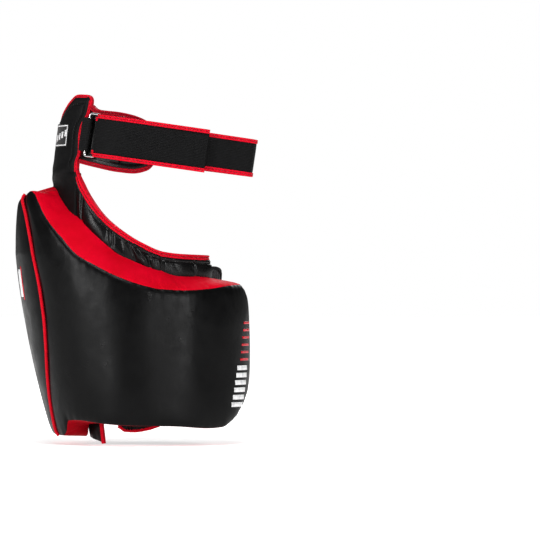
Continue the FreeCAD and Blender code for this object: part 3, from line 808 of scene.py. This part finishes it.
# tongue behind the strap
def tongue_pad():
    u, v = axes(90, 60, 0.4, 0.5)
    angle, z = settled(u, v, 290.0, lambda z: HANGER_FRONT(z) + 1.0, lambda z: 18.0,
                       lambda a: TONGUE_BOTTOM(a) + 1.2, lambda a: TONGUE_TOP(a) - 1.2)
    x = np.radians(angle) * 103
    near = np.minimum(z - TONGUE_BOTTOM(angle), TONGUE_TOP(angle) - z)
    near = np.minimum(near, (19 - angle) * 1.8)
    half = 1.4 + 3.6 * edge_round(near - 2, 10) + 0.5 * rough(x, z, 71, (22, 16))
    half = half - 0.7 * bell(near - 12, 1.6)
    half = half * mix(0.55, 1.0, step(0, 0.06, u))
    return closed_pad("tongue_pad", angle, z, hanger_radius(z) - 6.2, half)


dress(tongue_pad(), "hanger", [GLOSSY, LINING],
      ("tongue_cover", "tongue_foam", "tongue_lining"))
under = [(a, float(TONGUE_BOTTOM(a))) for a in np.linspace(-44, 18, 70)]
over = [(a, float(TONGUE_TOP(a))) for a in np.linspace(18, -35.5, 60)]
angle, z = np.array(under[1:] + [(19.0, 266.0), (19.0, 275.0), (19.0, 281.0)] + over).T
rim, where = routed(angle, z, hanger_radius(z) - 6.0, 1.6, 4)
rim_out = outward(where[:, 0])
tape, rim_in = taped_edge("tongue_tape", rim, -rim_out, 6.4, 4.7, 0.6)
# the tongue's binding takes the darker tape copy: painted shadow of the strap above it.
dress(tape, "hanger", TAPE_SHADED, ("tongue_binding",))
dress(stitches("tongue_stitches", rim + rim_in * 2.9 + rim_out * 4.35, rim_out), "hanger", THREAD_RED)


# what shows under the blocks
HEM_EDGE = smooth((-17, -112), (-9, -118), (0, -118.5), (12, -115.5), (20, -111))
TAB_LOW = smooth((-57, -126), (-45, -130), (-36, -133))
HEM_R, TAB_R = 100.0, 100.5
HEM_FIRST, HEM_LAST = -17.0, 20.0


def ruffle(angle, z):
    """How far the gathered hem stands out of its smooth shape."""
    x = np.radians(angle) * 101
    down = step(-100, -114, z)
    return (1.3 * np.sin(x / 1.7 + 1.3 * np.sin(x / 9)) + rough(x, z * 0.4, 81, (7, 20))) * mix(0.45, 1.0, down)


u, v = axes(150, 22)
a = mix(HEM_FIRST, HEM_LAST, u) + 0 * v
zed = mix(HEM_EDGE(a) + 3.0, -99.0, v)
hem = closed_pad("lining_hem_cloth", a, zed, HEM_R + 0.8 * ruffle(a, zed), 0.7 + 0 * zed)
dress(hem, "guard", [BLACK, BLACK], ("lining_hem",))
a = np.linspace(HEM_FIRST, HEM_LAST, 120)
path = place(a, HEM_EDGE(a) + 0.4, HEM_R + 0.8 * ruffle(a, HEM_EDGE(a) + 3))
hem_tape, _ = taped_edge("hem_tape", path, -outward(a), 4.2, 1.9, 0.2)
dress(hem_tape, "guard", TAPE, ("hem_binding",))

u, v = axes(40, 26, 0.4, 0.3)
a = mix(-57.0, -37.6, u) + 0 * v
zed = mix(TAB_LOW(a), -99.0, v)
x = np.radians(a) * 101
near = np.minimum((a + 57) * 1.76, zed - TAB_LOW(a))
half = 0.9 + 2.0 * edge_round(near, 7) + 0.35 * rough(x, zed, 91, (7, 9))
dress(closed_pad("lower_tab_pad", a, zed, TAB_R + 0.6 * rough(x, zed, 92, (9, 14)), half), "guard",
      [BLACK, LINING], ("lower_tab",))
zed = np.linspace(-134, -100, 30)
tab_edge = place(-34.6 + 0 * zed, zed, TAB_R)
tab_tape, _ = taped_edge("lower_tab_tape", tab_edge, -outward(-35.0 + 0 * zed), 4.6, 2.6, 0.4)
dress(tab_tape, "guard", TAPE, ("lower_tab_binding",))

# mesh panel behind the inner end
MESH_LIFT, MESH_FIRST, MESH_LAST, MESH_LOW = 0.6, 60.0, 101.0, -86.0
u, v = axes(60, 90)
a = mix(MESH_FIRST, MESH_LAST, u) + 0 * v
zed = mix(MESH_LOW, WING_TOP(a), v)
waves = 0.8 * rough(np.radians(a) * 110, zed, 95, (26, 50)) * step(66, 92, a)
wing = closed_pad("stretch_mesh_panel", a, zed, WING_FLARE(a) + MESH_LIFT + waves, 0.6 + 0 * zed)
dress(wing, "guard", [MESH, MESH], ("stretch_wing",))
rim_points = [(MESH_LAST, high) for high in np.linspace(MESH_LOW, 89, 50)]
rim_points += [(a, float(WING_TOP(a))) for a in np.linspace(100.5, MESH_FIRST, 40)]
a, zed = np.array(rim_points).T
path, where = routed(a, zed, WING_FLARE(a) + MESH_LIFT, 2.0, 2)
wing_tape, _ = taped_edge("stretch_mesh_edge", path, -outward(where[:, 0]), 6.5, 1.6, 0.3)
dress(wing_tape, "guard", ELASTIC)


# prints
def on_face(angle, z, lift):
    return place(angle, z, face_radius(angle, z) + lift)


white = [(55.5 + 0.9 * i, 67.5 + 0.9 * i, -84 + 10 * i, -77.6 + 10 * i) for i in range(6)]
red = [(63 + 0.9 * i, 75 + 0.9 * i, -21 + 10 * i, -17.8 + 10 * i) for i in range(6)]
for name, bars, material, slot, node in (
        ("front_bars_pale", white, WHITE_PRINT, "print_white", "front_bars_white"),
        ("front_bars_bright", red, RED_PRINT, "print_red", "front_bars_red"),
        ("side_bar_pale", [(-80.5, -74.5, 66, 104)], WHITE_PRINT, "print_white", "side_bar_white"),
        ("side_bar_bright", [(-74.2, -72.6, 62, 108)], RED_PRINT, "print_red", "side_bar_red")):
    dress(plate(name, bars, (-0.3, 0.3), on_face), "guard", material, (node,))


# straps, drawn in plan by walking as in the part
FOLD_R, WEB, FLAP, FLAP_GAP, PATCH = 3.75, 2.2, 3.0, 3.2, 2.1
HOOK_ACROSS, LOOP_ACROSS = 1.1, -1.5


def beside(point, heading, along, across):
    h = math.radians(heading)
    return (point[0] + math.cos(h) * along + math.sin(h) * across,
            point[1] + math.sin(h) * along - math.cos(h) * across)


def walk(start, heading, moves, pitch=1.5):
    """Plan points of the path and its heading in degrees at each."""
    x, y = start
    rows = [(x, y, heading)]
    for move in moves:
        turn = 0.0 if move[0] == "line" else move[2]
        length = move[1] if move[0] == "line" else abs(math.radians(turn)) * move[1]
        n = max(1, int(length / pitch), int(abs(turn) / 6))
        for _ in range(n):
            middle = math.radians(heading + turn / n / 2)
            chord = length / n if not turn else 2 * move[1] * math.sin(abs(math.radians(turn / n)) / 2)
            x, y = x + math.cos(middle) * chord, y + math.sin(middle) * chord
            heading += turn / n
            rows.append((x, y, heading))
    return np.array(rows)


class Strap:
    """A strap on a ring. tilt turns it about its ring's back bar, in degrees."""

    def __init__(self, name, body, flap_body, bar, heading, z, pitch, moves, flap_moves, tilt=0.0):
        self.name, self.body, self.flap_body = name, body, flap_body
        self.heading, self.z, self.tilt = heading, z, math.radians(tilt)
        self.back = beside(bar, heading, -pitch, 0)
        self.fold = beside(bar, heading, 0, FOLD_R)
        self.flap_start = beside(bar, heading, FLAP_GAP, FOLD_R)
        self.web_rows = walk(self.fold, heading + 180, [("turn", FOLD_R, -180)] + moves)
        self.flap_rows = walk(self.fold, heading, [("line", FLAP_GAP)] + flap_moves)

    def turned(self, v, moved=True):
        v = np.array(v, float)
        pivot = np.array([*self.back, self.z]) if moved else np.zeros(3)
        d = v - pivot
        c, s = math.cos(self.tilt), math.sin(self.tilt)
        out = np.stack([d[..., 0] * c + d[..., 2] * s, d[..., 1], -d[..., 0] * s + d[..., 2] * c], -1)
        return out + pivot

    def lines(self, rows, across=0.0, height=0.0):
        """Path, upward direction and right-hand direction."""
        h = np.radians(rows[:, 2])
        right = np.stack([np.sin(h), -np.cos(h), 0 * h], -1)
        path = np.stack([rows[:, 0], rows[:, 1], np.full(len(h), self.z + height)], -1) + right * across
        up = self.turned(np.broadcast_to([0.0, 0.0, 1.0], path.shape), False)
        return self.turned(path), up, self.turned(right, False)

    def band(self, name, rows, half, thick, seed, wave=0.35, across=0.0, pitch=2.0):
        """A strap of woven tape with soft edges that lies a little unevenly."""
        path, up, right = self.lines(rows, across)
        path, up, right = resample(path, pitch, up, right)
        h = np.linspace(-1, 1, 15)
        s = run_length(path)[:, None]
        curl = wave * rough(s + 0 * h, h * half, seed, (46, 30))
        curl = curl + 0.5 * wave * rough(s + 0 * h, 0 * h, seed + 1, (12, 9))
        curl = curl * step(13, 40, s) * step(0, 6, s[-1] - s)
        t = mix(min(thick, WEB), thick, step(4, 16, s)) / 2 * (1 - 0.55 * np.abs(h) ** 9)
        front, back = (np.stack([h * half + 0 * curl, curl + t * face], -1) for face in (1, -1))
        return swept(name, path, up, right, np.concatenate((front, back[:, ::-1]), 1))

    def tapes(self, name, rows, half, thick, seed):
        """Red tape folded over both edges, with a stitched groove."""
        pieces = []
        for label, sign in (("upper", 1), ("lower", -1)):
            path, up, right = self.lines(rows, 0.0, sign * (half + 5.0))
            path, up, right = resample(path, 2.0, up, right)
            path = path + right * 0.2 * rough(run_length(path), 0, seed + sign, (22, 9))[:, None]
            tape, inward = taped_edge(f"{name}_{label}_tape", path, right * sign, 5.6, thick / 2 + 0.75, 0.0)
            pieces.append((tape, TAPE))
            for k in (1, -1):
                seam = path + inward * 2.8 + right * k * (thick / 2 + 0.7)
                row = f"{name}_{label}_stitches_{'front' if k > 0 else 'back'}"
                pieces.append((stitches(row, seam, right * k), THREAD_RED))
        return pieces

    def patch(self, name, skip, moves, across, half):
        start = walk(self.flap_start, self.heading, skip)[-1]
        rows = walk(start[:2], start[2], moves)
        return self.band(name, rows, half, PATCH - 0.3, 7, 0.1, across - FOLD_R)

    def fastening(self, skip, moves, half):
        """Hook tape on the flap, and the loop tape that it lies on."""
        for kind, across, body, material in (("hook", HOOK_ACROSS, self.flap_body, HOOKS),
                                             ("loop", LOOP_ACROSS, self.body, LOOPS)):
            tape = self.patch(f"{self.name}_{kind}_tape", skip, moves, across, half)
            dress(tape, body, material, (f"{self.name}_{kind}_patch",))

    def anchor(self, half, length):
        start = beside(self.back, self.heading, -length, FOLD_R)
        rows = walk(start, self.heading, [("line", length), ("turn", FOLD_R, 180), ("line", length)])
        return self.band(self.name + "_ring_loop", rows, half, WEB, 12, 0.0, 0.0, 1.0)

    def flap(self, obj, material, nodes=()):
        """Gives the flap its material, bakes its transform in and hides the nodes it stands for; the flap is not
        attached to a body.
        """
        obj.data.materials.append(material)
        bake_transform(obj)
        if nodes:
            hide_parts(*nodes)


WAIST_BEND, WAIST_SWEEP, LEG_BEND = 87.5, 427.5, 83.5
WAIST_HEADING, WAIST_TILT = -32.0, 8.1
waist = Strap(
    "waist", "hanger", "waist_flap", (-49.5, -93.0), WAIST_HEADING, WAIST_Z, 17.0,
    [("turn", 80.0, 32), ("line", 52.0), ("turn", 420.0, 13), ("line", 15.0), ("turn", 13.0, 138.0), ("line", 233.7),
     ("turn", 25.0, 99.0), ("line", 22.0)],
    [("turn", WAIST_BEND, 32), ("line", 52.0), ("turn", WAIST_SWEEP, 7)], WAIST_TILT)
dress(waist.band("waist_webbing", waist.web_rows, 21.5, WEB, 101), "hanger", WEBBING,
      ("waist_strap",))
for n, (obj, material) in enumerate(waist.tapes("waist_webbing", waist.web_rows, 20.6, WEB, 111)):
    dress(obj, "hanger", material, () if n else ("waist_strap_binding",))
waist.flap(waist.band("waist_flap_webbing", waist.flap_rows, 25.3, FLAP, 121), WEBBING, ("waist_flap",))
for n, (obj, material) in enumerate(waist.tapes("waist_flap", waist.flap_rows, 24.4, FLAP, 131)):
    waist.flap(obj, material, () if n else ("waist_flap_binding",))
run = [("turn", WAIST_BEND, 7), ("line", 52.0), ("turn", WAIST_SWEEP, 6)]
waist.fastening([("turn", WAIST_BEND, 25)], run, 18.0)
dress(waist.anchor(23.0, 8.0), "hanger", WEBBING_BACK, ("waist_ring_anchor",))

# keeper: a short band that stands on the tongue and holds the strap's inner layer
KEEPER_HALF = 6.2
x, y, h = walk(waist.flap_start, WAIST_HEADING, [("turn", WAIST_BEND, 18.5)])[-1]
stand = [(-10.8, -31.6), (-8.4, -32.9), (-5.4, -33.2), (-3.6, -31.6), (-3.4, -27.0), (-4.4, -10.0), (-4.4, 10.0),
         (-4.4, 25.4), (-4.8, 28.8), (-6.0, 30.4), (-8.4, 30.1), (-10.8, 28.8)]
path = np.array([[*beside((x, y), h, 0.0, across), WAIST_Z + up] for across, up in stand])
path = resample(rounded(resample(path, 1.2), 3), 1.2)
along = np.broadcast_to([math.cos(math.radians(h)), math.sin(math.radians(h)), 0.0], path.shape)
path, along = waist.turned(path), waist.turned(along, False)
facing = np.cross(along, tangents(path))
w = np.linspace(-1, 1, 11)
half_round = np.stack([w * KEEPER_HALF, 0.75 - 0.35 * np.abs(w) ** 7], -1)
band = swept("strap_keeper_band", path, along, facing, np.concatenate((half_round, -half_round)))
dress(band, "hanger", GLOSSY,
      ("strap_keeper",))
for k, shift in enumerate((-4.9, 4.9)):
    dress(stitches(f"keeper_stitches_{k}", path + along * shift - facing * 0.62, -facing, 3.4, 2.3, 0.3),
          "hanger", THREAD_BLACK)

for name, z, run_on in (("upper_leg", 44.0, 20.0), ("lower_leg", -66.0, 4.9)):
    leg = Strap(
        name, "guard", name + "_flap", (112.0, 38.0), 100.0, z, 14.0,
        [("line", 4.0), ("turn", 76.0, 80), ("line", run_on), ("turn", 112.0, 52), ("turn", 95.0, 18)],
        [("line", 3.0), ("turn", LEG_BEND, 62)])
    dress(leg.band(name + "_elastic", leg.web_rows, 19.0, WEB, 141, 0.5), "guard", ELASTIC,
          (name + "_strap",))
    leg.flap(leg.band(name + "_flap_elastic", leg.flap_rows, 19.0, FLAP, 151, 0.3), ELASTIC,
             (name + "_flap",))
    leg.fastening([("line", 3.0), ("turn", LEG_BEND, 24)], [("turn", LEG_BEND, 36)], 16.5)
    dress(leg.anchor(18.5, 9.0), "guard", ELASTIC, (name + "_ring_anchor",))
    for k, offset in enumerate((-16.5, 16.5)):
        path, _, right = leg.lines(leg.flap_rows[4:], FLAP / 2, offset)
        leg.flap(stitches(f"{name}_flap_stitches_{k}", path, right), THREAD_BLACK)

for name in ("waist_ring", "upper_leg_ring", "lower_leg_ring"):
    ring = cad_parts[name]
    for part_slot in ring.material_slots:
        part_slot.material = CHROME
    if not ring.material_slots:
        ring.data.materials.append(CHROME)


# room, light and camera
def room():
    """A wide pale floor that glows softly away from the object, so that it runs into the white surroundings."""
    floor = cad_box[0][2] - 0.002
    x = np.concatenate((np.linspace(-16, -3, 6), np.linspace(-2, 2, 9), np.linspace(3, 16, 6)))
    grid = np.stack([*np.meshgrid(x, x, indexing="ij"), np.full((len(x), len(x)), floor)], -1)
    obj = mesh_object("studio_floor", grid.reshape(-1, 3) / MM, quads(len(x), len(x)))
    f = Finish("studio_paper", 0.75, Specular_IOR_Level=0.1, Emission_Color=WHITE)
    f.colour(f.noise(600, 2), (0.2, grey(0.88)), (0.8, grey(0.92)))
    f.bump(f.noise(3, 3), 0.1, 0.3)
    away = f.add("VectorMath", Vector=f.coords)
    away.operation = "LENGTH"
    f.tree.links.new(f.span(away.outputs["Value"], 0.4, 2.6, (0.5, 1.0)), f.shader.inputs["Emission Strength"])
    obj.data.materials.append(f.material)


def lamp(name, at, target, size, power):
    light = bpy.data.lights.new(name, "AREA")
    light.shape, light.size, light.size_y, light.energy = "RECTANGLE", *size, power
    obj = bpy.data.objects.new(name, light)
    obj.location = at
    obj.rotation_euler = (Vector(target) - Vector(at)).to_track_quat("-Z", "Y").to_euler()
    bpy.context.collection.objects.link(obj)


room()
middle = (0.0, -0.05, 0.08)
lamp("key_left", (-1.9, -2.0, 0.7), middle, (0.3, 1.3), 44)
lamp("key_right", (1.7, -2.1, 0.6), middle, (0.4, 1.3), 28)
lamp("top", (0.05, -1.1, 2.3), middle, (1.3, 0.7), 32)
lamp("floor_wash", (0.0, 0.6, 3.4), (0.0, 0.5, -0.2), (4.0, 1.5), 20)
lamp("back_fill", (0.9, 2.7, 1.5), middle, (1.8, 1.2), 34)
world = bpy.data.worlds.new("studio")
world.use_nodes = True
tree = world.node_tree
dim, seen = tree.nodes["Background"], tree.nodes.new("ShaderNodeBackground")
dim.inputs["Color"].default_value = seen.inputs["Color"].default_value = WHITE
dim.inputs["Strength"].default_value = 0.08
either = tree.nodes.new("ShaderNodeMixShader")
for source, socket in ((tree.nodes.new("ShaderNodeLightPath").outputs["Is Camera Ray"], either.inputs["Fac"]),
                       (dim.outputs[0], either.inputs[1]), (seen.outputs[0], either.inputs[2]),
                       (either.outputs[0], tree.nodes["World Output"].inputs["Surface"])):
    tree.links.new(source, socket)
scene = bpy.context.scene
scene.world = world
scene.view_settings.view_transform = "Standard"
scene.view_settings.gamma = 0.88

SENSOR, VIEW_DISTANCE, VIEW_WIDTH = 36.0, 6.06, 0.7425
camera = bpy.data.objects.new("camera", bpy.data.cameras.new("camera"))
camera.location = (0.1856, -6.1, 0.1031)
camera.rotation_euler = (math.radians(90), 0.0, 0.0)
camera.data.sensor_width = SENSOR
camera.data.lens = SENSOR * VIEW_DISTANCE / VIEW_WIDTH
camera.data.clip_end = 60.0
bpy.context.collection.objects.link(camera)
scene.camera = camera

bpy.context.view_layer.update()
